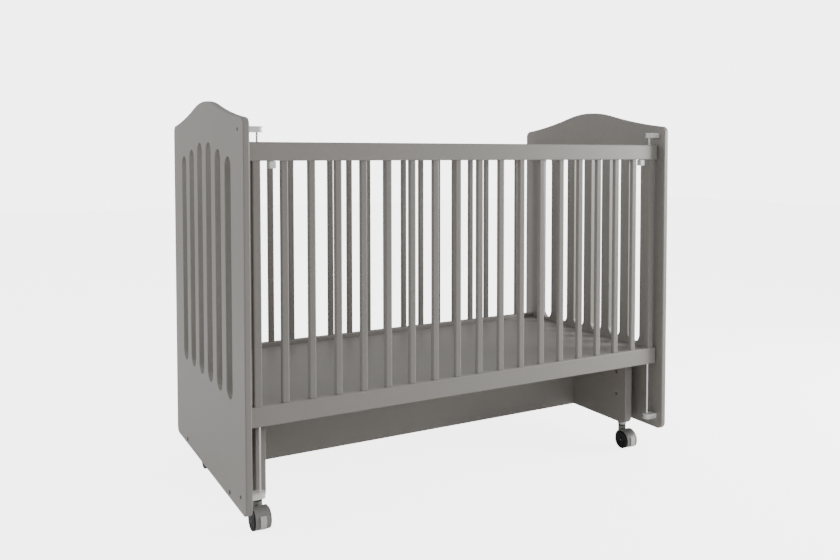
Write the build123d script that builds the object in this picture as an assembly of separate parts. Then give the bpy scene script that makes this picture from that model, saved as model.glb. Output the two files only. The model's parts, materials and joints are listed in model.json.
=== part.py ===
from build123d import *
import math
import os

# Swinging crib. X runs along its length, the drop side faces -Y and Z is up. Millimetres throughout.
# The origin is on the floor under the middle of the crib. +X is its right end.

# Plan of the bed
inner_length = 1206.0
panel_width = 677.0
side_face_inset = 23.0

# End panels
panel_thickness = 16.0
crown_height = 928.5
crown_radius = 415.0
crown_half_width = 100.0
shoulder_height = 875.5
shoulder_corner_radius = 18.0
foot_corner_radius = 20.0
panel_edge_radius = 3.5
slot_count = 6
slot_pitch = 86.5
slot_width = 50.0
slot_floor_height = 235.0
slot_top_margin = 100.0
slot_edge_radius = 2.0

# Long sides: rails and slats
rail_thickness = 19.5
rail_edge_radius = 3.0
top_rail_depth = 42.0
top_rail_height = 782.0
bottom_rail_depth = 46.0
bottom_rail_height = 191.0
slat_width = 19.0
slat_thickness = 11.0
slat_edge_radius = 4.5
tenon_width = 13.0
tenon_thickness = 7.0
tenon_depth = 8.0
rear_slat_count = 18
dowel_radius = 4.0
dowel_length = 34.0
dowel_spread = 20.0
dowel_depth_in_panel = 11.0

# Drop side
drop_end_gap = 3.0
drop_slat_count = 17
first_slat_inset = 86.556
post_inset = 22.0
post_width = 19.0
post_thickness = 15.0
post_edge_radius = 3.0
drop_travel = 147.0
drop_stop_gap = 1.0

# Guide rods and their brackets
rod_radius = 3.0
rod_inset = 26.0
rod_clearance = 0.3
rod_seat_clearance = 0.05
rod_end_recess = 1.0
bracket_half_width = 12.0
bracket_height = 13.0
bracket_flange = 2.6
bracket_recess = 2.0
bracket_foot = 3.0
top_bracket_height = 845.0
bracket_screw_radius = 2.0
bracket_screw_offset = 6.5
bracket_screw_length = 34.0
screw_head_radius = 4.0
screw_head_height = 1.5

# Latches under the ends of the top rail
latch_outer_width = 12.8
latch_depth = 13.0
latch_wall = 1.4
latch_mouth_inset = 35.0
latch_inner_end_inset = 76.0
latch_slot_width = 6.0
latch_clearance = 0.2
slider_tail_inset = 65.0
knob_inset = 59.0
knob_size = 16.0
knob_drop = 16.5
knob_gap = 0.5
knob_edge_radius = 2.5
knob_neck_length = 8.0
latch_grip_overlap = 2.0
latch_grip_clearance = 0.06
spring_strip = 0.5
spring_height = 6.0
spring_half_span = 3.6

# Bed base
base_thickness = 12.0
base_edge_radius = 1.0
base_top_height = 225.0
base_side_gap = 3.0
base_end_gap = 2.0
bearer_thickness = 16.0
bearer_depth = 20.0
bearer_end_gap = 16.0
stiffener_width = 24.0
stiffener_depth = 20.0
stiffener_spacing = 300.0

# Stand
stand_board_gap = 33.0
stand_board_thickness = 25.0
stand_board_length = 500.0
stand_board_height = 178.0
stand_corner_radius = 20.0
stand_edge_radius = 2.5
stretcher_thickness = 16.0
stretcher_height = 150.0
stretcher_edge_radius = 1.5
stretcher_bolt_radius = 3.0
stretcher_bolt_heights = (35.0, 115.0)
stretcher_bolt_reach = 42.0
stretcher_bolt_head_radius = 6.0
stretcher_bolt_head_height = 3.0
barrel_nut_radius = 5.0
barrel_nut_length = 13.0
barrel_nut_setback = 30.0

# Swing links
pivot_spacing_y = 420.0
upper_pivot_height = 148.6
lower_pivot_height = 16.4
pivot_radius = 4.0
pivot_clearance = 0.08
pivot_head_radius = 5.5
pivot_head_height = 1.5
link_thickness = 6.0
link_half_width = 13.0
bush_radius = 8.0
bush_length = 10.0
bush_side_gap = 0.3
spacer_radius = 7.0
nut_across_flats = 13.0
nut_height = 5.0
lock_hole_radius = 4.2

# Casters
wheel_radius = 25.0
wheel_width = 9.0
wheel_spacing = 34.0
wheel_edge_radius = 2.5
wheel_dish_depth = 1.5
wheel_rim = 5.0
wheel_hub_radius = 7.0
caster_tower = 47.0
caster_trail = 18.0
caster_spacing_y = 444.0
axle_radius = 2.5
axle_clearance = 0.08
axle_end_recess = 1.0
wheel_gap = 1.0
hood_thickness = 2.5
hood_half_width = 17.5
hood_floor_gap = 8.0
hood_rear_angle = 165.0
hood_tower_radius = 11.0
hood_pocket_radius = 21.0
hood_pocket_wall = 3.5
stem_radius = 5.0
stem_length_in_board = 30.0
stem_length_in_hood = 18.0
stem_clearance = 0.06
collar_radius = 12.0
collar_height = 6.0
ring_radius = 11.0
ring_height = 4.0
ring_gap = 0.3
pedal_width = 14.0
pedal_thickness = 2.5
pedal_gap = 0.7
pedal_hinge_angle = 25.0
pedal_tip_angle = -30.0
pedal_barrel_radius = 3.0
pedal_pin_radius = 1.25
pedal_pin_clearance = 0.05
pedal_notch_clearance = 0.4
pedal_pin_half_length = 10.5

# Places worked out from the sizes above
foot_z = wheel_radius + caster_tower
panel_inner_x = inner_length / 2
panel_outer_x = panel_inner_x + panel_thickness
side_outer_y = panel_width / 2 - side_face_inset
side_y = side_outer_y - rail_thickness / 2
side_inner_y = side_outer_y - rail_thickness
top_rail_z = foot_z + top_rail_height
bottom_rail_top_z = foot_z + bottom_rail_height + bottom_rail_depth
rod_x = panel_inner_x - rod_inset
base_top_z = foot_z + base_top_height
base_underside_z = base_top_z - base_thickness
stand_outer_x = panel_inner_x - stand_board_gap
stand_inner_x = stand_outer_x - stand_board_thickness
stand_x = (stand_inner_x + stand_outer_x) / 2
link_x = (stand_outer_x + panel_inner_x) / 2
pivot_y = pivot_spacing_y / 2
upper_pivot_z = foot_z + upper_pivot_height
lower_pivot_z = foot_z + lower_pivot_height
axle_z = wheel_radius
hood_radius = wheel_radius + wheel_gap + hood_thickness
top_bracket_z = foot_z + top_bracket_height
bottom_bracket_z = foot_z + bottom_rail_height - drop_travel - drop_stop_gap - bracket_height

parts = {}


def mirrored_x(shape):
    return mirror(shape, about=Plane.YZ)


def rounded_box(length, width, height, radius):
    """Box centred on the origin in X and Y, standing on Z = 0, with every edge rounded."""
    box = Box(length, width, height, align=(Align.CENTER, Align.CENTER, Align.MIN))
    return fillet(box.edges(), radius)


def rod_along_x(radius, start, end):
    """Cylinder on the X axis from start to end."""
    return Pos(start, 0, 0) * Rot(0, 90, 0) * Cylinder(
        radius, end - start, align=(Align.CENTER, Align.CENTER, Align.MIN))


def rod_along_y(radius, start, end):
    """Cylinder on the Y axis from start to end."""
    return Pos(0, start, 0) * Rot(-90, 0, 0) * Cylinder(
        radius, end - start, align=(Align.CENTER, Align.CENTER, Align.MIN))


def upright(radius, bottom, top):
    """Cylinder on the Z axis from bottom to top."""
    return Pos(0, 0, bottom) * Cylinder(radius, top - bottom, align=(Align.CENTER, Align.CENTER, Align.MIN))


# End panels: an arched board with a row of upright slots that follow the arch

def arch_height(y):
    """Height of the panel's top edge above its foot, at a distance y from the middle."""
    arc_end = crown_height - crown_radius + math.sqrt(crown_radius**2 - crown_half_width**2)
    if abs(y) <= crown_half_width:
        return crown_height - crown_radius + math.sqrt(crown_radius**2 - y**2)
    slope = math.asin(crown_half_width / crown_radius)
    normal = Vector(math.sin(slope), math.cos(slope))
    chord = Vector(panel_width / 2 - crown_half_width, shoulder_height - arc_end)
    hollow_radius = chord.dot(chord) / (2 * chord.dot(normal))
    centre = Vector(crown_half_width, arc_end) + normal * hollow_radius
    return centre.Y - math.sqrt(hollow_radius**2 - (abs(y) - centre.X)**2)


def slot_centres():
    return [slot_pitch * (i - (slot_count - 1) / 2) for i in range(slot_count)]


def end_panel():
    half = panel_width / 2
    with BuildSketch(Plane.YZ) as outline:
        with BuildLine():
            crown = ThreePointArc(
                (-crown_half_width, arch_height(crown_half_width)),
                (0, crown_height),
                (crown_half_width, arch_height(crown_half_width)),
            )
            TangentArc(crown @ 1, (half, shoulder_height), tangent=crown % 1)
            TangentArc(crown @ 0, (-half, shoulder_height), tangent=-(crown % 0))
            Polyline((half, shoulder_height), (half, 0), (-half, 0), (-half, shoulder_height))
        make_face()
        feet = outline.vertices().sort_by(Axis.Y)[:2]
        fillet(feet, foot_corner_radius)
        edge_points = outline.vertices().filter_by(lambda vertex: abs(vertex.X) > half - 1)
        fillet(edge_points.sort_by(Axis.Y)[-2:], shoulder_corner_radius)
    panel = extrude(outline.sketch, panel_thickness)
    panel = fillet(panel.faces().filter_by(Plane.YZ).edges(), panel_edge_radius)
    for y in slot_centres():
        floor = slot_floor_height
        ceiling = arch_height(y) - slot_top_margin
        slot = Rot(0, 0, 90) * SlotOverall(ceiling - floor, slot_width)
        panel -= extrude(Plane.YZ * Pos(y, (floor + ceiling) / 2) * slot, panel_thickness)
    panel = Pos(panel_inner_x, 0, foot_z) * panel
    rims = [
        edge for edge in panel.faces().filter_by(Plane.YZ).edges()
        if abs(edge.center().Y) < (slot_count * slot_pitch) / 2
        and foot_z + slot_floor_height - 1 < edge.center().Z < foot_z + arch_height(0) - slot_top_margin + 1
    ]
    panel = fillet(rims, slot_edge_radius)
    for rail_z, rail_depth in rail_levels():
        for z in dowel_heights(rail_z, rail_depth):
            reach = panel_inner_x + dowel_depth_in_panel
            panel -= Pos(0, side_y, z) * rod_along_x(dowel_radius, panel_inner_x - 1, reach)
    for y in (-pivot_y, pivot_y):
        panel -= Pos(0, y, lower_pivot_z) * rod_along_x(pivot_radius, panel_inner_x, panel_outer_x)
    for z in (top_bracket_z, bottom_bracket_z):
        hole = rod_along_x(bracket_screw_radius, panel_inner_x, panel_outer_x)
        panel -= Pos(0, screw_y(), z + bracket_height / 2) * hole
    return panel


# Fixed rear side

def rail_levels():
    """Underside and depth of each rail, the same on both long sides."""
    return (
        (top_rail_z, top_rail_depth),
        (foot_z + bottom_rail_height, bottom_rail_depth),
    )


def dowel_heights(rail_z, rail_depth):
    middle = rail_z + rail_depth / 2
    return (middle - dowel_spread / 2, middle + dowel_spread / 2)


def slat_mortises(xs, rail_z):
    """Blocks to take out of a rail for the slats' tenons."""
    low = rail_z if rail_z == top_rail_z else bottom_rail_top_z - tenon_depth
    block = Box(tenon_width, tenon_thickness, tenon_depth, align=(Align.CENTER, Align.CENTER, Align.MIN))
    return [Pos(x, 0, low) * block for x in xs]


def rail(length, rail_z, rail_depth, xs):
    body = Pos(0, 0, rail_z) * rounded_box(length, rail_thickness, rail_depth, rail_edge_radius)
    return body - slat_mortises(xs, rail_z)


def slats(xs):
    """Round-edged slats with a tenon at each end, standing between the two rails."""
    height = top_rail_z - bottom_rail_top_z
    section = RectangleRounded(slat_width, slat_thickness, slat_edge_radius)
    slat = extrude(section, height)
    slat += Pos(0, 0, -tenon_depth) * Box(
        tenon_width, tenon_thickness, height + 2 * tenon_depth,
        align=(Align.CENTER, Align.CENTER, Align.MIN))
    return Compound([Pos(x, 0, bottom_rail_top_z) * slat for x in xs])


def rear_slat_places():
    pitch = inner_length / (rear_slat_count + 1)
    return [pitch * (i + 1) - inner_length / 2 for i in range(rear_slat_count)]


def rear_rail(rail_z, rail_depth):
    body = rail(inner_length, rail_z, rail_depth, rear_slat_places())
    start = panel_inner_x + dowel_depth_in_panel - dowel_length
    for z in dowel_heights(rail_z, rail_depth):
        bore = Pos(0, 0, z) * rod_along_x(dowel_radius, start, panel_inner_x)
        body -= [bore, mirrored_x(bore)]
    return Pos(0, side_y, 0) * body


def rear_dowels():
    end = panel_inner_x + dowel_depth_in_panel
    dowel = rod_along_x(dowel_radius, end - dowel_length, end)
    heights = [z for rail_z, rail_depth in rail_levels() for z in dowel_heights(rail_z, rail_depth)]
    return at_both_ends(*[Pos(0, side_y, z) * dowel for z in heights])


# Drop side and its guide rods

def drop_slat_places():
    span = inner_length - 2 * first_slat_inset
    pitch = span / (drop_slat_count - 1)
    return [pitch * i - span / 2 for i in range(drop_slat_count)]


def drop_rail(rail_z, rail_depth):
    body = rail(inner_length - 2 * drop_end_gap, rail_z, rail_depth, drop_slat_places())
    hole = Pos(rod_x, 0, 0) * upright(rod_radius + rod_clearance, rail_z, rail_z + rail_depth)
    body -= [hole, mirrored_x(hole)]
    if rail_z == top_rail_z:
        pocket = latch_pocket()
        body -= [pocket, mirrored_x(pocket)]
    return Pos(0, -side_y, 0) * body


def end_post():
    """Outermost upright of the drop side, with a groove that straddles the guide rod."""
    height = top_rail_z - bottom_rail_top_z
    section = RectangleRounded(post_width, post_thickness, post_edge_radius)
    post_x = panel_inner_x - post_inset
    post = Pos(post_x, 0, bottom_rail_top_z) * extrude(section, height)
    groove_half = rod_radius + rod_clearance
    groove_start = rod_x - groove_half
    groove_length = post_x + post_width / 2 - groove_start
    post -= Pos(groove_start, 0, bottom_rail_top_z) * Box(
        groove_length, 2 * groove_half, height, align=(Align.MIN, Align.CENTER, Align.MIN))
    return Pos(0, -side_y, 0) * post


def guide_rod():
    bottom = bottom_bracket_z + rod_end_recess
    top = top_bracket_z + bracket_height - rod_end_recess
    return Pos(rod_x, -side_y, 0) * upright(rod_radius, bottom, top)


def bracket_outline(shrink):
    """Bracket seen from above: a strip from the panel to a round nose about the rod."""
    half = bracket_half_width - shrink
    strip = Pos(rod_x, 0) * Rectangle(rod_inset, 2 * half, align=(Align.MIN, Align.CENTER))
    return strip + Pos(rod_x, 0) * Circle(half)


def screw_y():
    return bracket_screw_offset - side_y


def rod_bracket(z):
    """Moulded bracket with a flange at top and bottom, a thinner web and a foot on the panel."""
    body = extrude(bracket_outline(bracket_recess), bracket_height)
    flange = extrude(bracket_outline(0), bracket_flange)
    body += [flange, Pos(0, 0, bracket_height - bracket_flange) * flange]
    body += Pos(panel_inner_x, 0, 0) * Box(
        bracket_foot, 2 * bracket_half_width, bracket_height, align=(Align.MAX, Align.CENTER, Align.MIN))
    body -= Pos(rod_x, 0, 0) * upright(rod_radius + rod_seat_clearance, 0, bracket_height)
    screw_end = panel_outer_x - bracket_screw_length
    screw_hole = rod_along_x(bracket_screw_radius, screw_end, panel_inner_x)
    body -= Pos(0, bracket_screw_offset, bracket_height / 2) * screw_hole
    return Pos(0, -side_y, z) * body


def bracket_screws():
    shank = rod_along_x(bracket_screw_radius, panel_outer_x - bracket_screw_length, panel_outer_x)
    head = rod_along_x(screw_head_radius, panel_outer_x, panel_outer_x + screw_head_height)
    head = fillet(head.edges().sort_by(Axis.X)[-1], screw_head_height * 0.6)
    heights = [z + bracket_height / 2 for z in (top_bracket_z, bottom_bracket_z)]
    return at_both_ends(*[Pos(0, screw_y(), z) * (shank + head) for z in heights])


# Latch: a C-shaped housing let into the rail, a slider that grips the rod, and its spring

def latch_mouth_x():
    return panel_inner_x - latch_mouth_inset


def latch_inner_end_x():
    return panel_inner_x - latch_inner_end_inset


def latch_block(start, end, width, bottom, top):
    """Block along X, centred in Y, at heights above the rail's underside."""
    return Pos(start, 0, top_rail_z + bottom) * Box(
        end - start, width, top - bottom, align=(Align.MIN, Align.CENTER, Align.MIN))


def latch_pocket():
    """Space for the housing and, beyond it, for the nose of the slider."""
    cavity = latch_outer_width - 2 * latch_wall
    housing = latch_block(latch_inner_end_x(), latch_mouth_x(), latch_outer_width, 0, latch_depth)
    nose = latch_block(latch_mouth_x(), rod_x, cavity, latch_wall, latch_depth - latch_wall)
    return housing + nose


def latch_housing():
    cavity = latch_outer_width - 2 * latch_wall
    inner_end = latch_inner_end_x()
    body = latch_block(inner_end, latch_mouth_x(), latch_outer_width, 0, latch_depth)
    body -= latch_block(inner_end + latch_wall, latch_mouth_x(), cavity, latch_wall, latch_depth - latch_wall)
    body -= latch_block(inner_end + latch_wall, latch_mouth_x(), latch_slot_width, 0, latch_wall)
    return Pos(0, -side_y, 0) * body


def latch_slider():
    """Slider with a nose hollowed to fit the rod, and a knob that hangs below the rail."""
    cavity = latch_outer_width - 2 * latch_wall
    bottom = latch_wall + latch_clearance
    top = latch_depth - latch_wall - latch_clearance
    tail = panel_inner_x - slider_tail_inset
    nose = rod_x - rod_radius + latch_grip_overlap
    slider = latch_block(tail, nose, cavity - 2 * latch_clearance, bottom, top)
    slider -= Pos(rod_x, 0, top_rail_z) * upright(rod_radius + latch_grip_clearance, 0, latch_depth)
    knob_x = panel_inner_x - knob_inset
    neck_width = latch_slot_width - 2 * latch_clearance
    half_neck = knob_neck_length / 2
    slider += latch_block(knob_x - half_neck, knob_x + half_neck, neck_width, -knob_gap - 1, bottom)
    knob = rounded_box(knob_size, knob_size, knob_drop, knob_edge_radius)
    slider += Pos(knob_x, 0, top_rail_z - knob_gap - knob_drop) * knob
    return Pos(0, -side_y, 0) * slider


def latch_spring():
    """Folded strip of spring steel between the housing's end and the slider's tail."""
    start = latch_inner_end_x() + latch_wall
    end = panel_inner_x - slider_tail_inset
    half = spring_strip / 2
    fold = (end - start) / 3
    line = Polyline(
        (start + half, -spring_half_span),
        (start + half, spring_half_span),
        (start + fold, -spring_half_span),
        (start + 2 * fold, spring_half_span),
        (end - half, -spring_half_span),
        (end - half, spring_half_span),
    )
    strip = extrude(make_face(offset(line, half, side=Side.BOTH)), spring_height)
    middle = (latch_depth - spring_height) / 2
    return Pos(0, -side_y, top_rail_z + middle) * strip


# Bed base and what carries it

def bed_base():
    board = rounded_box(
        inner_length - 2 * base_end_gap, 2 * (side_inner_y - base_side_gap), base_thickness, base_edge_radius)
    return Pos(0, 0, base_underside_z) * board


def base_bearer():
    length = 2 * (side_inner_y - bearer_end_gap)
    return Pos(panel_inner_x, 0, base_underside_z) * Box(
        bearer_thickness, length, bearer_depth, align=(Align.MAX, Align.CENTER, Align.MAX))


def base_stiffeners():
    length = inner_length - 2 * bearer_thickness
    bar = Box(length, stiffener_width, stiffener_depth, align=(Align.CENTER, Align.CENTER, Align.MAX))
    half = stiffener_spacing / 2
    return Compound([Pos(0, y, base_underside_z) * bar for y in (-half, half)])


# Stand

def stand_board():
    outline = Plane.YZ * RectangleRounded(stand_board_length, stand_board_height, stand_corner_radius)
    board = Pos(stand_inner_x, 0, foot_z + stand_board_height / 2) * extrude(outline, stand_board_thickness)
    board = fillet(board.faces().filter_by(Plane.YZ).edges(), stand_edge_radius)
    for y in (-pivot_y, pivot_y):
        board -= Pos(0, y, upper_pivot_z) * rod_along_x(pivot_radius, stand_inner_x, stand_outer_x)
        board -= Pos(0, y, lock_z()) * rod_along_x(lock_hole_radius, stand_inner_x, stand_outer_x)
    for y in (-caster_spacing_y / 2, caster_spacing_y / 2):
        board -= Pos(stand_x, y, 0) * upright(stem_radius, foot_z, foot_z + stem_length_in_board)
    for height in stretcher_bolt_heights:
        board -= Pos(0, 0, foot_z + height) * rod_along_x(stretcher_bolt_radius, stand_inner_x, stand_outer_x)
    return board


def lock_z():
    """Height of the hole that a bolt can be put through to lock the swing."""
    return (upper_pivot_z + lower_pivot_z) / 2


def stretcher():
    length = 2 * stand_inner_x
    board = Box(length, stretcher_thickness, stretcher_height, align=(Align.CENTER, Align.CENTER, Align.MIN))
    board = fillet(board.edges().filter_by(Axis.X), stretcher_edge_radius)
    for height in stretcher_bolt_heights:
        bolt = Pos(0, 0, height) * rod_along_x(stretcher_bolt_radius, bolt_tip_x(), stand_inner_x)
        nut = Pos(barrel_nut_x(), 0, height) * barrel_nut_blank()
        board -= [bolt, mirrored_x(bolt), nut, mirrored_x(nut)]
    return Pos(0, 0, foot_z) * board


def barrel_nut_x():
    return stand_inner_x - barrel_nut_setback


def bolt_tip_x():
    return stand_inner_x - stretcher_bolt_reach


def barrel_nut_blank():
    """Cross nut put in from the stretcher's rear face."""
    face = stretcher_thickness / 2
    return rod_along_y(barrel_nut_radius, face - barrel_nut_length, face)


def barrel_nuts():
    nut = Pos(barrel_nut_x(), 0, 0) * barrel_nut_blank()
    nut -= rod_along_x(stretcher_bolt_radius, bolt_tip_x(), stand_inner_x)
    return at_both_ends(*[Pos(0, 0, foot_z + height) * nut for height in stretcher_bolt_heights])


def stretcher_bolts():
    head_end = stand_outer_x + stretcher_bolt_head_height
    bolt = rod_along_x(stretcher_bolt_radius, bolt_tip_x(), stand_outer_x)
    head = rod_along_x(stretcher_bolt_head_radius, stand_outer_x, head_end)
    return at_both_ends(*[Pos(0, 0, foot_z + height) * (bolt + head) for height in stretcher_bolt_heights])


# Swing links: a steel bar with a bush at each end, hung on the stand and carrying the bed

def swing_link():
    outline = Rot(0, 0, 90) * SlotCenterToCenter(upper_pivot_z - lower_pivot_z, 2 * link_half_width)
    bar = extrude(Plane.YZ * outline, link_thickness)
    bar = Pos(link_x - link_thickness / 2, 0, lock_z()) * bar
    bar = chamfer(bar.faces().filter_by(Plane.YZ).edges(), link_thickness / 8)
    for z in (upper_pivot_z, lower_pivot_z):
        bar -= Pos(0, 0, z) * rod_along_x(bush_radius, stand_outer_x, panel_inner_x)
    bar -= Pos(0, 0, lock_z()) * rod_along_x(lock_hole_radius, stand_outer_x, panel_inner_x)
    return bar


def link_bushes():
    start = link_x - bush_length / 2
    end = link_x + bush_length / 2
    bush = rod_along_x(bush_radius, start, end) - rod_along_x(pivot_radius + pivot_clearance, start, end)
    return Compound([Pos(0, 0, z) * bush for z in (upper_pivot_z, lower_pivot_z)])


def pivot_nut(start):
    """Hexagon nut round the pivot bolt, from start towards +X."""
    outline = Plane.YZ * RegularPolygon(nut_across_flats / 2, 6, major_radius=False)
    nut = Pos(start, 0, 0) * extrude(outline, nut_height)
    return nut - rod_along_x(pivot_radius, start, start + nut_height)


def pivot_spacer(start, end):
    return rod_along_x(spacer_radius, start, end) - rod_along_x(pivot_radius, start, end)


def upper_pivot():
    """Bolt from the stand's inner face, with its spacer and nut on either side of the link."""
    bush_start = link_x - bush_length / 2 - bush_side_gap
    nut_start = link_x + bush_length / 2 + bush_side_gap
    nut_end = nut_start + nut_height
    bolt = rod_along_x(pivot_radius, stand_inner_x, nut_end)
    bolt += rod_along_x(pivot_head_radius, stand_inner_x - pivot_head_height, stand_inner_x)
    return bolt, pivot_spacer(stand_outer_x, bush_start), pivot_nut(nut_start)


def lower_pivot():
    """Bolt from the end panel's outer face, with its spacer and nut on either side of the link."""
    bush_end = link_x + bush_length / 2 + bush_side_gap
    nut_end = link_x - bush_length / 2 - bush_side_gap
    bolt = rod_along_x(pivot_radius, nut_end - nut_height, panel_outer_x)
    bolt += rod_along_x(pivot_head_radius, panel_outer_x, panel_outer_x + pivot_head_height)
    return bolt, pivot_spacer(bush_end, panel_inner_x), pivot_nut(nut_end - nut_height)


def at_both_ends(*shapes):
    """Shapes made at the right end, with their mirror images at the left end."""
    return Compound([copy for shape in shapes for copy in (shape, mirrored_x(shape))])


def at_four_corners(shape, spacing_y, z):
    """Copies of a shape made at the right end, at both ends and both values of Y."""
    return at_both_ends(*[Pos(0, y, z) * shape for y in (-spacing_y / 2, spacing_y / 2)])


# Casters, modelled about their stem axis with the wheels trailing towards -Y

def caster_stem():
    stem = upright(stem_radius, foot_z - collar_height - ring_height - ring_gap - stem_length_in_hood,
                   foot_z + stem_length_in_board)
    return stem + upright(collar_radius, foot_z - collar_height, foot_z)


def caster_ring():
    top = foot_z - collar_height
    bottom = top - ring_height
    return upright(ring_radius, bottom, top) - upright(stem_radius, bottom, top)


def side_disc(radius, half_width):
    """Disc about the wheel axle, centred in X."""
    return Pos(0, -caster_trail, axle_z) * rod_along_x(radius, -half_width, half_width)


def caster_wheel():
    """Wheel centred on the axle, its dished outer face towards +X."""
    half = wheel_width / 2
    bore = axle_radius
    dish = half - wheel_dish_depth
    inner_rim = wheel_radius - wheel_rim
    with BuildSketch(Plane.XY) as section:
        with BuildLine():
            Polyline(
                (-half, bore), (-half, wheel_radius), (half, wheel_radius), (half, inner_rim),
                (dish, inner_rim - wheel_dish_depth), (dish, wheel_hub_radius + wheel_dish_depth),
                (half, wheel_hub_radius), (half, bore), (-half, bore),
            )
        make_face()
        tread = section.vertices().filter_by_position(Axis.Y, wheel_radius - 1, wheel_radius + 1)
        fillet(tread, wheel_edge_radius)
    return revolve(section.sketch, Axis.X)


def caster_wheels():
    right = Pos(wheel_spacing / 2, -caster_trail, axle_z) * caster_wheel()
    return Compound([right, mirrored_x(right)])


def caster_axle():
    end = wheel_spacing / 2 + wheel_width / 2 - axle_end_recess
    return side_disc(axle_radius, end)


def hood_web_half_width():
    return wheel_spacing / 2 - wheel_width / 2 - wheel_gap


def pedal_hinge():
    """Y and Z of the brake pedal's hinge on the front of the hood."""
    reach = hood_radius - hood_thickness / 2
    angle = math.radians(pedal_hinge_angle)
    return -caster_trail - reach * math.cos(angle), axle_z + reach * math.sin(angle)


def caster_hood(with_pedal):
    """Moulded hood: a web between the wheels, a mudguard over both treads and a swivel tower."""
    tower_top = foot_z - collar_height - ring_height - ring_gap
    web_half = hood_web_half_width()
    hood = side_disc(hood_radius, hood_half_width)
    tower = upright(hood_tower_radius, axle_z, tower_top)
    hood += tower
    hood -= Pos(0, -caster_trail, hood_floor_gap) * Box(
        4 * hood_radius, 4 * hood_radius, hood_radius, align=(Align.CENTER, Align.CENTER, Align.MAX))
    wheel_room = side_disc(wheel_radius + wheel_gap, 2 * hood_half_width) - side_disc(hood_radius, web_half)
    hood -= wheel_room
    rear_slope = Rot(180 - hood_rear_angle, 0, 0) * Box(
        4 * hood_half_width, 2 * hood_radius, 2 * hood_radius, align=(Align.CENTER, Align.MIN, Align.MAX))
    rear_cut = Pos(0, -caster_trail, axle_z) * rear_slope - side_disc(wheel_radius + wheel_gap, web_half)
    hood -= rear_cut
    pocket = side_disc(hood_pocket_radius, web_half - hood_pocket_wall)
    pocket &= Pos(0, -caster_trail, 0) * Box(
        4 * hood_radius, 4 * hood_radius, axle_z - 2 * axle_radius,
        align=(Align.CENTER, Align.CENTER, Align.MIN))
    hood -= pocket
    hood -= side_disc(axle_radius + axle_clearance, 2 * hood_half_width)
    hood -= upright(stem_radius + stem_clearance, tower_top - stem_length_in_hood - stem_clearance, tower_top)
    if with_pedal:
        y, z = pedal_hinge()
        notch = pedal_barrel_radius + pedal_notch_clearance
        half = pedal_width / 2 + pedal_notch_clearance
        hood -= Pos(0, y, z) * rod_along_x(notch, -half, half)
        hood -= Pos(0, y, z) * rod_along_x(pedal_pin_radius, -pedal_pin_half_length, pedal_pin_half_length)
    return hood


def brake_pedal():
    """Curved lever that lies on the front of the hood and hangs from its hinge pin."""
    y, z = pedal_hinge()
    half = pedal_width / 2
    inner = hood_radius + pedal_gap
    plate = side_disc(inner + pedal_thickness, half) - side_disc(inner, half)
    sector = Polyline(
        (0, 0),
        polar(4 * hood_radius, 180 - pedal_hinge_angle),
        polar(4 * hood_radius, 180 - pedal_tip_angle),
        (0, 0))
    wedge = extrude(Plane.YZ * make_face(sector), pedal_width)
    plate &= Pos(-half, -caster_trail, axle_z) * wedge
    lever = plate + Pos(0, y, z) * rod_along_x(pedal_barrel_radius, -half, half)
    return lever - Pos(0, y, z) * rod_along_x(pedal_pin_radius + pedal_pin_clearance, -half, half)


def polar(radius, degrees):
    angle = math.radians(degrees)
    return radius * math.cos(angle), radius * math.sin(angle)


def pedal_pin():
    y, z = pedal_hinge()
    return Pos(0, y, z) * rod_along_x(pedal_pin_radius, -pedal_pin_half_length, pedal_pin_half_length)


# Bed
right_panel = end_panel()
parts["right_end_panel"] = right_panel
parts["left_end_panel"] = mirrored_x(right_panel)
parts["rear_top_rail"] = rear_rail(*rail_levels()[0])
parts["rear_bottom_rail"] = rear_rail(*rail_levels()[1])
parts["rear_slats"] = Pos(0, side_y, 0) * slats(rear_slat_places())
parts["rear_rail_dowels"] = rear_dowels()
parts["bed_base"] = bed_base()
parts["base_stiffeners"] = base_stiffeners()
parts["bracket_screws"] = bracket_screws()

# Drop side
parts["drop_side_top_rail"] = drop_rail(*rail_levels()[0])
parts["drop_side_bottom_rail"] = drop_rail(*rail_levels()[1])
parts["drop_side_slats"] = Pos(0, -side_y, 0) * slats(drop_slat_places())

# Twins that share a node, one at each end
parts["base_bearers"] = at_both_ends(base_bearer())
parts["guide_rods"] = at_both_ends(guide_rod())
parts["rod_brackets"] = at_both_ends(rod_bracket(top_bracket_z), rod_bracket(bottom_bracket_z))
parts["drop_side_posts"] = at_both_ends(end_post())
parts["latch_housings"] = at_both_ends(latch_housing())

# Pieces with a node of their own at each end
pairs = {
    "latch_slider": latch_slider(),
    "latch_spring": latch_spring(),
    "stand_board": stand_board(),
}
for name, shape in pairs.items():
    parts["right_" + name] = shape
    parts["left_" + name] = mirrored_x(shape)

# Stand
parts["stretcher"] = stretcher()
parts["stretcher_bolts"] = stretcher_bolts()
parts["stretcher_barrel_nuts"] = barrel_nuts()
for kind, z, pieces in (("upper", upper_pivot_z, upper_pivot()), ("lower", lower_pivot_z, lower_pivot())):
    for label, piece in zip(("bolts", "spacers", "nuts"), pieces):
        parts[kind + "_pivot_" + label] = at_four_corners(piece, pivot_spacing_y, z)
stem = Pos(stand_x, 0, 0) * caster_stem()
ring = Pos(stand_x, 0, 0) * caster_ring()
parts["caster_stems"] = at_four_corners(stem, caster_spacing_y, 0)
parts["caster_rings"] = at_four_corners(ring, caster_spacing_y, 0)

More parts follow.
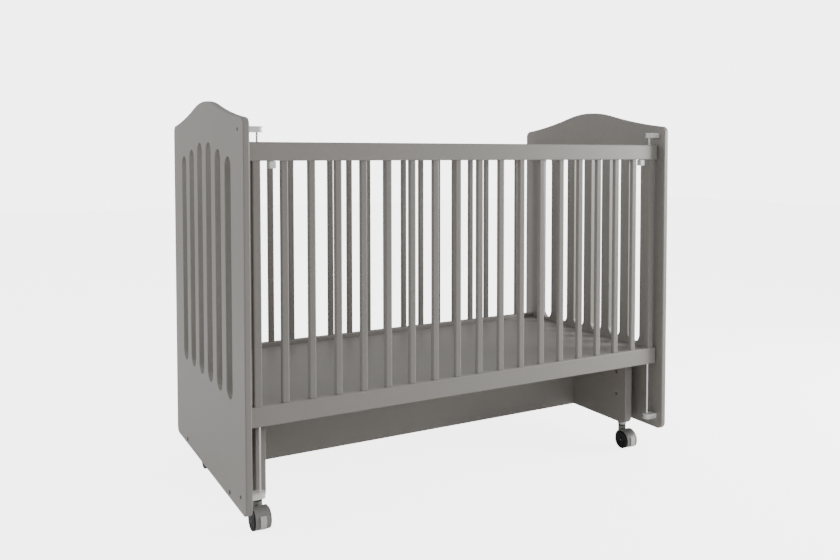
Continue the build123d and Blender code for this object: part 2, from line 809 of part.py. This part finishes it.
# Swing links and casters, one of each at every corner
for row, y_sign in (("front", -1), ("rear", 1)):
    for end, x_sign in (("left", -1), ("right", 1)):
        corner = row + "_" + end + "_"
        for label, piece in (("swing_link", swing_link()), ("link_bushes", link_bushes())):
            placed = Pos(0, y_sign * pivot_y, 0) * piece
            parts[corner + label] = placed if x_sign > 0 else mirrored_x(placed)
        place = Pos(x_sign * stand_x, y_sign * caster_spacing_y / 2, 0)
        parts[corner + "caster_hood"] = place * caster_hood(row == "front")
        parts[corner + "caster_wheels"] = place * caster_wheels()
        parts[corner + "caster_axle"] = place * caster_axle()
        if row == "front":
            parts[corner + "brake_pedal"] = place * brake_pedal()
            parts[corner + "pedal_pin"] = place * pedal_pin()

os.makedirs("parts", exist_ok=True)
for name, shape in parts.items():
    export_step(shape, "parts/" + name + ".step")
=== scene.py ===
import json
import math

import bmesh
import bpy
from mathutils import Matrix, Vector


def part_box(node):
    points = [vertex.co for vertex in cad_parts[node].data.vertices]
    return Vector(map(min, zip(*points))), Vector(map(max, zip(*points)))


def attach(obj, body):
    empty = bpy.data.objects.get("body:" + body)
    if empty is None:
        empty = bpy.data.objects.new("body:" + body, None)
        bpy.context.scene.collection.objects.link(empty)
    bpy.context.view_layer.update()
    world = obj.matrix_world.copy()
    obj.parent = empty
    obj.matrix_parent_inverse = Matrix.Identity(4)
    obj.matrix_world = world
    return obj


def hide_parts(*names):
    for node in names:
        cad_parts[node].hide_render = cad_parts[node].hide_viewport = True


# A painted swinging crib in a pale studio. Metres; -Y is the drop side and Z is up.

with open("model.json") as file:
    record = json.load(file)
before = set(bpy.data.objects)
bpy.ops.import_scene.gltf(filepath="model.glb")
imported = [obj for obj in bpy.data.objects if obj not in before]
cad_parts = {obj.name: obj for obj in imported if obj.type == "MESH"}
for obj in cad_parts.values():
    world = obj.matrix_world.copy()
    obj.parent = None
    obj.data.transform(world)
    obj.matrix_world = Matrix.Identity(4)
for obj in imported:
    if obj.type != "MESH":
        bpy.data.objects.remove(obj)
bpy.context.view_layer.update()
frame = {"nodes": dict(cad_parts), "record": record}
nodes = frame["nodes"]

# The photograph's frame and the camera that was fitted to it
PHOTO_WIDTH = 840
PHOTO_HEIGHT = 560
SENSOR_WIDTH_MM = 36.0
FOCAL_PIXELS = 838.4
OPTICAL_AXIS_PIXEL = (439.2, 189.3)
CAMERA_PLACE = (-1.136, -2.1095, 0.8663)
CAMERA_YAW = math.radians(29.46)
CAMERA_PITCH = math.radians(-2.32)


def add_camera():
    forward = Vector((
        math.sin(CAMERA_YAW) * math.cos(CAMERA_PITCH),
        math.cos(CAMERA_YAW) * math.cos(CAMERA_PITCH),
        math.sin(CAMERA_PITCH),
    ))
    right = Vector((math.cos(CAMERA_YAW), -math.sin(CAMERA_YAW), 0))
    up = right.cross(forward)
    data = bpy.data.cameras.new("camera")
    data.sensor_width = SENSOR_WIDTH_MM
    data.lens = FOCAL_PIXELS / PHOTO_WIDTH * SENSOR_WIDTH_MM
    data.shift_x = (PHOTO_WIDTH / 2 - OPTICAL_AXIS_PIXEL[0]) / PHOTO_WIDTH
    data.shift_y = (OPTICAL_AXIS_PIXEL[1] - PHOTO_HEIGHT / 2) / PHOTO_WIDTH
    camera = bpy.data.objects.new("camera", data)
    axes = Matrix((right, up, -forward)).transposed()
    camera.matrix_world = Matrix.Translation(CAMERA_PLACE) @ axes.to_4x4()
    bpy.context.collection.objects.link(camera)
    bpy.context.scene.camera = camera


# Materials; noise scales are in cells per metre, bump depths in metres

PAINT_MOTTLE_SCALE = 6.0
PAINT_MOTTLE_RANGE = (0.96, 1.04)
PAINT_FINE_SCALE = 900.0
PAINT_ROUGHNESS_CHANGE = 0.05
PAINT_GRAIN_SCALE = 260.0
PAINT_GRAIN_STRETCH = 0.04
PAINT_BUMP_STRENGTH = 0.12
PAINT_BUMP_DEPTH = 0.0004
PAINT_COAT = 0.15
PAINT_COAT_ROUGHNESS = 0.35
PLASTIC_MOTTLE_SCALE = 40.0
PLASTIC_MOTTLE_RANGE = (0.95, 1.03)
PLASTIC_FINE_SCALE = 2500.0
PLASTIC_ROUGHNESS_CHANGE = 0.06
PLASTIC_BUMP_STRENGTH = 0.1
PLASTIC_BUMP_DEPTH = 0.0002
STREAK_SCALE = 1500.0
STREAK_STRETCH = 0.02
STREAK_DARK = 0.9
STREAK_ROUGHNESS_RANGE = (0.7, 1.3)
STREAK_BUMP_STRENGTH = 0.05
STREAK_BUMP_DEPTH = 0.0001
BARE_GRAIN_SCALE = 120.0
BARE_GRAIN_STRETCH = 0.05
BARE_GRAIN_RANGE = (0.75, 1.1)
BARE_ROUGHNESS = 0.6
BARE_BUMP_STRENGTH = 0.3
BARE_BUMP_DEPTH = 0.0005


def srgb(red, green, blue):
    """Linear colour from 0 to 255 screen values."""
    def linear(value):
        value /= 255
        return value / 12.92 if value <= 0.04045 else ((value + 0.055) / 1.055) ** 2.4
    return (linear(red), linear(green), linear(blue), 1.0)


def new_material(name):
    material = bpy.data.materials.new(name)
    material.use_nodes = True
    shader = material.node_tree.nodes["Principled BSDF"]
    return material, material.node_tree, shader


def noise(tree, scale, detail=3.0, stretch=(1.0, 1.0, 1.0)):
    """Noise in object space, which is the crib's own frame; stretch below 1 draws it out along that axis."""
    coords = tree.nodes.new("ShaderNodeTexCoord")
    mapping = tree.nodes.new("ShaderNodeMapping")
    mapping.inputs["Scale"].default_value = stretch
    texture = tree.nodes.new("ShaderNodeTexNoise")
    texture.inputs["Scale"].default_value = scale
    texture.inputs["Detail"].default_value = detail
    tree.links.new(coords.outputs["Object"], mapping.inputs["Vector"])
    tree.links.new(mapping.outputs["Vector"], texture.inputs["Vector"])
    return texture.outputs["Fac"]


def spread(tree, value, low, high):
    """A 0 to 1 value spread over low to high."""
    node = tree.nodes.new("ShaderNodeMapRange")
    node.inputs["To Min"].default_value = low
    node.inputs["To Max"].default_value = high
    tree.links.new(value, node.inputs["Value"])
    return node.outputs["Result"]


def shaded(colour, factor):
    return tuple(channel * factor for channel in colour[:3]) + (1.0,)


def tinted(tree, value, dark, light):
    """Colour between dark and light, by a 0 to 1 value."""
    node = tree.nodes.new("ShaderNodeMix")
    node.data_type = "RGBA"
    node.inputs["A"].default_value = dark
    node.inputs["B"].default_value = light
    tree.links.new(value, node.inputs["Factor"])
    return node.outputs["Result"]


def mottled(tree, value, colour, shade_range):
    """Colour between two shades of itself, by a 0 to 1 value."""
    return tinted(tree, value, shaded(colour, shade_range[0]), shaded(colour, shade_range[1]))


def drawn_out(axis, stretch):
    """Noise stretch that draws the cells out along one axis."""
    scales = [1.0, 1.0, 1.0]
    scales[axis] = stretch
    return scales


def bump(tree, shader, height, strength, depth):
    node = tree.nodes.new("ShaderNodeBump")
    node.inputs["Strength"].default_value = strength
    node.inputs["Distance"].default_value = depth
    tree.links.new(height, node.inputs["Height"])
    tree.links.new(node.outputs["Normal"], shader.inputs["Normal"])


def painted_wood(name, colour, roughness=0.42, grain_axis=None):
    """Satin paint sprayed on wood: faint mottling, a fine texture and, on solid wood, a trace of grain."""
    material, tree, shader = new_material(name)
    mottle = noise(tree, PAINT_MOTTLE_SCALE)
    tree.links.new(mottled(tree, mottle, colour, PAINT_MOTTLE_RANGE), shader.inputs["Base Color"])
    fine = noise(tree, PAINT_FINE_SCALE, detail=2.0)
    low, high = roughness - PAINT_ROUGHNESS_CHANGE, roughness + PAINT_ROUGHNESS_CHANGE
    tree.links.new(spread(tree, fine, low, high), shader.inputs["Roughness"])
    texture = fine
    if grain_axis is not None:
        stretch = drawn_out(grain_axis, PAINT_GRAIN_STRETCH)
        texture = noise(tree, PAINT_GRAIN_SCALE, detail=4.0, stretch=stretch)
    bump(tree, shader, texture, PAINT_BUMP_STRENGTH, PAINT_BUMP_DEPTH)
    shader.inputs["Coat Weight"].default_value = PAINT_COAT
    shader.inputs["Coat Roughness"].default_value = PAINT_COAT_ROUGHNESS
    return material


def moulded_plastic(name, colour, roughness=0.4):
    material, tree, shader = new_material(name)
    mottle = noise(tree, PLASTIC_MOTTLE_SCALE)
    tree.links.new(mottled(tree, mottle, colour, PLASTIC_MOTTLE_RANGE), shader.inputs["Base Color"])
    fine = noise(tree, PLASTIC_FINE_SCALE, detail=1.0)
    low, high = roughness - PLASTIC_ROUGHNESS_CHANGE, roughness + PLASTIC_ROUGHNESS_CHANGE
    tree.links.new(spread(tree, mottle, low, high), shader.inputs["Roughness"])
    bump(tree, shader, fine, PLASTIC_BUMP_STRENGTH, PLASTIC_BUMP_DEPTH)
    return material


def metal(name, colour, roughness, brushed_axis=2):
    material, tree, shader = new_material(name)
    streaks = noise(tree, STREAK_SCALE, detail=2.0, stretch=drawn_out(brushed_axis, STREAK_STRETCH))
    tree.links.new(tinted(tree, streaks, shaded(colour, STREAK_DARK), colour), shader.inputs["Base Color"])
    low, high = (roughness * share for share in STREAK_ROUGHNESS_RANGE)
    tree.links.new(spread(tree, streaks, low, high), shader.inputs["Roughness"])
    bump(tree, shader, streaks, STREAK_BUMP_STRENGTH, STREAK_BUMP_DEPTH)
    shader.inputs["Metallic"].default_value = 1.0
    return material


def bare_wood(name, colour):
    material, tree, shader = new_material(name)
    grain = noise(tree, BARE_GRAIN_SCALE, detail=6.0, stretch=drawn_out(0, BARE_GRAIN_STRETCH))
    tree.links.new(mottled(tree, grain, colour, BARE_GRAIN_RANGE), shader.inputs["Base Color"])
    shader.inputs["Roughness"].default_value = BARE_ROUGHNESS
    bump(tree, shader, grain, BARE_BUMP_STRENGTH, BARE_BUMP_DEPTH)
    return material


PAINT = srgb(146, 142, 137)
# The slats and posts take a copy of the same paint made darker. This is painted shade, since the real crib
# has one paint throughout.
UPRIGHT_PAINTED_SHADE = 0.87
paint_upright_painted_shade = painted_wood("paint_upright_painted_shade", shaded(PAINT, UPRIGHT_PAINTED_SHADE), grain_axis=2)
paint_lengthwise = painted_wood("paint_lengthwise", PAINT, grain_axis=0)
paint_board = painted_wood("paint_board", PAINT)
base_board = painted_wood("base_board", PAINT)
white_plastic = moulded_plastic("white_plastic", srgb(240, 239, 236), 0.35)
hood_plastic = moulded_plastic("hood_plastic", srgb(140, 139, 136), 0.38)
pale_plastic = moulded_plastic("pale_plastic", srgb(204, 204, 202), 0.35)
black_nylon = moulded_plastic("black_nylon", srgb(14, 14, 15), 0.34)
bright_steel = metal("bright_steel", srgb(243, 243, 244), 0.22)
zinc_steel = metal("zinc_steel", srgb(190, 190, 192), 0.32, brushed_axis=0)
dark_steel = metal("dark_steel", srgb(60, 60, 62), 0.4, brushed_axis=0)
dull_steel = metal("dull_steel", srgb(128, 125, 121), 0.5, brushed_axis=0)
raw_wood = bare_wood("raw_wood", srgb(196, 164, 122))

MATERIAL_OF_SLOT = {
    "grey_paint": paint_board,
    "base_board": base_board,
    "bare_wood": raw_wood,
    "white_plastic": white_plastic,
    "bright_steel": bright_steel,
    "dark_steel": dark_steel,
    "zinc_steel": zinc_steel,
    "black_nylon": black_nylon,
    "grey_plastic": hood_plastic,
    "pale_plastic": pale_plastic,
}
UPRIGHT_NODES = ("rear_slats", "drop_side_slats", "drop_side_posts")
LENGTHWISE_NODES = (
    "rear_top_rail", "rear_bottom_rail", "drop_side_top_rail", "drop_side_bottom_rail", "stretcher")


def dress_nodes():
    for row in frame["record"]["subparts"]:
        name = row["node"]
        material = MATERIAL_OF_SLOT[row["material_slot"]]
        # Slats and posts take the darker copy of the paint, which is painted shade.
        if name in UPRIGHT_NODES:
            material = paint_upright_painted_shade
        if name in LENGTHWISE_NODES:
            material = paint_lengthwise
        mesh_object = nodes[name]
        mesh_object.data.materials.clear()
        mesh_object.data.materials.append(material)


def add_detailed(bm, name, body, material):
    """Make a mesh into a piece that rides on a body and replaces the CAD node of that name."""
    bmesh.ops.recalc_face_normals(bm, faces=bm.faces[:])
    mesh = bpy.data.meshes.new(name + "_detailed")
    bm.to_mesh(mesh)
    bm.free()
    piece = bpy.data.objects.new(name + "_detailed", mesh)
    bpy.context.collection.objects.link(piece)
    mesh.materials.append(material)
    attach(piece, body)
    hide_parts(name)


# Bolt and screw heads, with the driving recess that the plain CAD heads leave out.
# Sizes are in metres; shares are of the head's radius or, for drops and depths, of its height.

SCREW_HEAD_HEIGHT = 0.0015
SCREW_SHANK_RADIUS = 0.002
PIVOT_HEAD_HEIGHT = 0.0015
PIVOT_SHANK_RADIUS = 0.004
STRETCHER_HEAD_HEIGHT = 0.003
STRETCHER_SHANK_RADIUS = 0.003
CROWN_DROP = 0.35
EDGE_START = 0.97
EDGE_HEIGHT = 0.5
HEXAGON_ACROSS_FLATS = 0.95
HEXAGON_DEPTH = 0.6
CROSS_REACH = 0.62
CROSS_DEPTH = 0.55
CROSS_ARM_HALF_WIDTH = 0.34
CROSS_ARM_TAPER = 0.16
HEAD_RINGS = 26
HEAD_SEGMENTS = 60
SHANK_SEGMENTS = 32
SOLIDS_IN_ONE_ROW = 0.1


def inside_hexagon(u, v, across_flats):
    """True within a hexagon whose flats lie across_flats apart."""
    return all(
        abs(u * math.cos(turn) + v * math.sin(turn)) < across_flats / 2
        for turn in (0, math.radians(60), math.radians(120)))


def inside_cross(u, v, reach):
    """True within the two tapered arms of a cross recess."""
    def arm(along, across):
        half_width = reach * (CROSS_ARM_HALF_WIDTH - CROSS_ARM_TAPER * abs(along) / reach)
        return abs(along) < reach and abs(across) < half_width
    return arm(u, v) or arm(v, u)


def face_height(kind, u, v, radius, height):
    """Height of the head's face above its seat, at a place given from its centre."""
    share = min(1.0, math.hypot(u, v) / radius)
    top = height * (1 - CROWN_DROP * share ** 4) if share < EDGE_START else height * EDGE_HEIGHT
    if kind == "hexagon" and inside_hexagon(u, v, radius * HEXAGON_ACROSS_FLATS):
        return top - height * HEXAGON_DEPTH
    if kind == "cross" and inside_cross(u, v, radius * CROSS_REACH):
        return top - height * CROSS_DEPTH
    return top


def add_head(bm, place, outward, radius, height, kind):
    """Round head on the X axis: a skirt, and a face made of rings that dip into the recess."""
    rows = []
    for ring in range(HEAD_RINGS + 1):
        reach = radius * ring / HEAD_RINGS
        row = []
        for step in range(HEAD_SEGMENTS):
            angle = 2 * math.pi * step / HEAD_SEGMENTS
            u, v = reach * math.cos(angle), reach * math.sin(angle)
            up = face_height(kind, u, v, radius, height)
            row.append(bm.verts.new((place[0] + outward * up, place[1] + u, place[2] + v)))
            if ring == 0:
                break
        rows.append(row)
    skirt = []
    for step in range(HEAD_SEGMENTS):
        angle = 2 * math.pi * step / HEAD_SEGMENTS
        skirt.append(bm.verts.new((
            place[0], place[1] + radius * math.cos(angle), place[2] + radius * math.sin(angle))))
    rows.append(skirt)
    for step in range(HEAD_SEGMENTS):
        after = (step + 1) % HEAD_SEGMENTS
        bm.faces.new((rows[0][0], rows[1][step], rows[1][after]))
        for inner, outer in zip(rows[1:], rows[2:]):
            bm.faces.new((inner[step], outer[step], outer[after], inner[after]))
    bm.faces.new(skirt)


def add_shank(bm, start, end, y, z, radius):
    """Closed rod along X from start to end."""
    circles = []
    for x in (start, end):
        circle = []
        for step in range(SHANK_SEGMENTS):
            angle = 2 * math.pi * step / SHANK_SEGMENTS
            circle.append(bm.verts.new((x, y + radius * math.cos(angle), z + radius * math.sin(angle))))
        circles.append(circle)
    for step in range(SHANK_SEGMENTS):
        after = (step + 1) % SHANK_SEGMENTS
        bm.faces.new((circles[0][step], circles[0][after], circles[1][after], circles[1][step]))
    bm.faces.new(circles[0])
    bm.faces.new(circles[1])


def quarters(name):
    """Low and high corners of a node's four solids, two at each end of the crib.

    The two are told apart by height where all four lie in one row along X, and by depth elsewhere.
    """
    points = [nodes[name].matrix_world @ vertex.co for vertex in nodes[name].data.vertices]
    depths = [point.y for point in points]
    middle_height = sum(point.z for point in points) / len(points)
    by_height = max(depths) - min(depths) < SOLIDS_IN_ONE_ROW
    groups = {}
    for point in points:
        key = (point.x > 0, point.z > middle_height if by_height else point.y > 0)
        low, high = groups.setdefault(key, (list(point), list(point)))
        for axis in range(3):
            low[axis] = min(low[axis], point[axis])
            high[axis] = max(high[axis], point[axis])
    return list(groups.values())


def add_bolts(name, body, kind, facing, head_height, shank_radius, material):
    """Four bolts along X; facing is 1 where their heads look out of the crib and -1 where they look in."""
    bm = bmesh.new()
    for low, high in quarters(name):
        side = 1 if low[0] > 0 else -1
        outward = side * facing
        y = (low[1] + high[1]) / 2
        z = (low[2] + high[2]) / 2
        radius = (high[1] - low[1]) / 2
        head_end, far_end = (high[0], low[0]) if outward > 0 else (low[0], high[0])
        seat = head_end - outward * head_height
        add_head(bm, (seat, y, z), outward, radius, head_height, kind)
        add_shank(bm, seat, far_end, y, z, shank_radius)
    add_detailed(bm, name, body, material)


# Caster wheels: a grooved tread, a dished side with ribs, and a raised hub.
# Each profile point is its distance out from the wheel's inner face, and its reach from the axle.

WHEEL_PROFILE_MM = (
    (0.0, 2.6), (0.0, 21.5), (0.3, 23.6), (1.4, 24.8), (2.6, 25.0), (3.9, 25.0), (4.2, 24.5), (4.8, 24.5),
    (5.1, 25.0), (6.4, 25.0), (7.6, 24.8), (8.7, 23.6), (9.0, 22.4), (9.0, 21.2), (8.4, 20.6), (8.0, 19.8),
    (8.0, 9.6), (8.3, 9.0), (8.9, 8.6), (9.0, 8.0), (9.0, 3.6), (8.7, 3.2), (8.2, 2.6))
RIB_FIRST_POINT = 15
RIB_LAST_POINT = 16
RIB_COUNT = 6
RIB_HALF_ANGLE = math.radians(5)
RIB_RISE_MM = 0.7
WHEEL_INNER_FACE = 0.0125
WHEEL_SEGMENTS = 144


def rib_rise(angle):
    """How far the dished side rises at an angle round the axle."""
    pitch = 2 * math.pi / RIB_COUNT
    off = abs((angle + pitch / 2) % pitch - pitch / 2)
    return RIB_RISE_MM if off < RIB_HALF_ANGLE else 0.0


def add_wheels(corner):
    """Twin wheels of one caster, turned about the middle of the plain ones."""
    name = corner + "_caster_wheels"
    low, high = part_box(name)
    middle = [(low[axis] + high[axis]) / 2 for axis in range(3)]
    bm = bmesh.new()
    for side in (-1, 1):
        rows = []
        for step in range(WHEEL_SEGMENTS):
            angle = 2 * math.pi * step / WHEEL_SEGMENTS
            row = []
            for number, (out, reach) in enumerate(WHEEL_PROFILE_MM):
                if RIB_FIRST_POINT <= number <= RIB_LAST_POINT:
                    out += rib_rise(angle)
                x = middle[0] + side * (WHEEL_INNER_FACE + out / 1000)
                y = middle[1] + reach / 1000 * math.cos(angle)
                z = middle[2] + reach / 1000 * math.sin(angle)
                row.append(bm.verts.new((x, y, z)))
            rows.append(row)
        for step in range(WHEEL_SEGMENTS):
            here, after = rows[step], rows[(step + 1) % WHEEL_SEGMENTS]
            for number in range(len(here)):
                onward = (number + 1) % len(here)
                bm.faces.new((here[number], here[onward], after[onward], after[number]))
    add_detailed(bm, name, corner + "_wheels", black_nylon)


# Studio

WHITE = (1.0, 1.0, 1.0, 1.0)
BACKDROP_SEEN = 5.0
BACKDROP_LIT = 0.5
FLOOR_COLOUR = (0.9, 0.9, 0.9, 1.0)
FLOOR_ROUGHNESS = 0.9
FLOOR_GLOW = 4.25
FLOOR_HALF_SIZE = 12.0

# Name, place, target, diameter and watts of each lamp
LAMPS = (
    ("key", (2.5, -1.3, 1.1), (0.2, -0.1, 0.55), 1.0, 78),
    ("side", (-3.2, 1.0, 1.2), (-0.6, 0, 0.5), 1.6, 36),
    ("top", (0.3, -0.4, 3.4), (0, 0, 0.4), 2.4, 8),
)


def camera_glow(tree, seen, lit):
    """Strength of the plain backdrop: one value as it is seen, another as it lights the crib."""
    path = tree.nodes.new("ShaderNodeLightPath")
    return spread(tree, path.outputs["Is Camera Ray"], lit, seen)


def add_floor():
    half = FLOOR_HALF_SIZE
    mesh = bpy.data.meshes.new("floor")
    corners = [(-half, -half, 0), (half, -half, 0), (half, half, 0), (-half, half, 0)]
    mesh.from_pydata(corners, [], [(0, 1, 2, 3)])
    floor = bpy.data.objects.new("floor", mesh)
    bpy.context.collection.objects.link(floor)
    material, tree, shader = new_material("floor")
    shader.inputs["Base Color"].default_value = FLOOR_COLOUR
    shader.inputs["Roughness"].default_value = FLOOR_ROUGHNESS
    shader.inputs["Specular IOR Level"].default_value = 0.0
    shader.inputs["Emission Color"].default_value = WHITE
    tree.links.new(camera_glow(tree, FLOOR_GLOW, 0.0), shader.inputs["Emission Strength"])
    mesh.materials.append(material)


def add_area_light(name, place, target, size, watts):
    data = bpy.data.lights.new(name, "AREA")
    data.shape = "DISK"
    data.size = size
    data.energy = watts
    light = bpy.data.objects.new(name, data)
    light.location = place
    aim = Vector(target) - Vector(place)
    light.rotation_euler = aim.to_track_quat("-Z", "Y").to_euler()
    bpy.context.collection.objects.link(light)


def add_world():
    world = bpy.data.worlds.new("studio")
    world.use_nodes = True
    tree = world.node_tree
    background = tree.nodes["Background"]
    background.inputs["Color"].default_value = WHITE
    tree.links.new(camera_glow(tree, BACKDROP_SEEN, BACKDROP_LIT), background.inputs["Strength"])
    bpy.context.scene.world = world


dress_nodes()
for corner in ("front_left", "front_right", "rear_left", "rear_right"):
    add_wheels(corner)
add_bolts("bracket_screws", "bed", "cross", 1, SCREW_HEAD_HEIGHT, SCREW_SHANK_RADIUS, dull_steel)
add_bolts("lower_pivot_bolts", "bed", "hexagon", 1, PIVOT_HEAD_HEIGHT, PIVOT_SHANK_RADIUS, dull_steel)
add_bolts("upper_pivot_bolts", "stand", "hexagon", -1, PIVOT_HEAD_HEIGHT, PIVOT_SHANK_RADIUS, dull_steel)
add_bolts("stretcher_bolts", "stand", "hexagon", 1, STRETCHER_HEAD_HEIGHT, STRETCHER_SHANK_RADIUS, zinc_steel)
add_floor()
add_world()
for name, place, target, diameter, watts in LAMPS:
    add_area_light(name, place, target, diameter, watts)
add_camera()
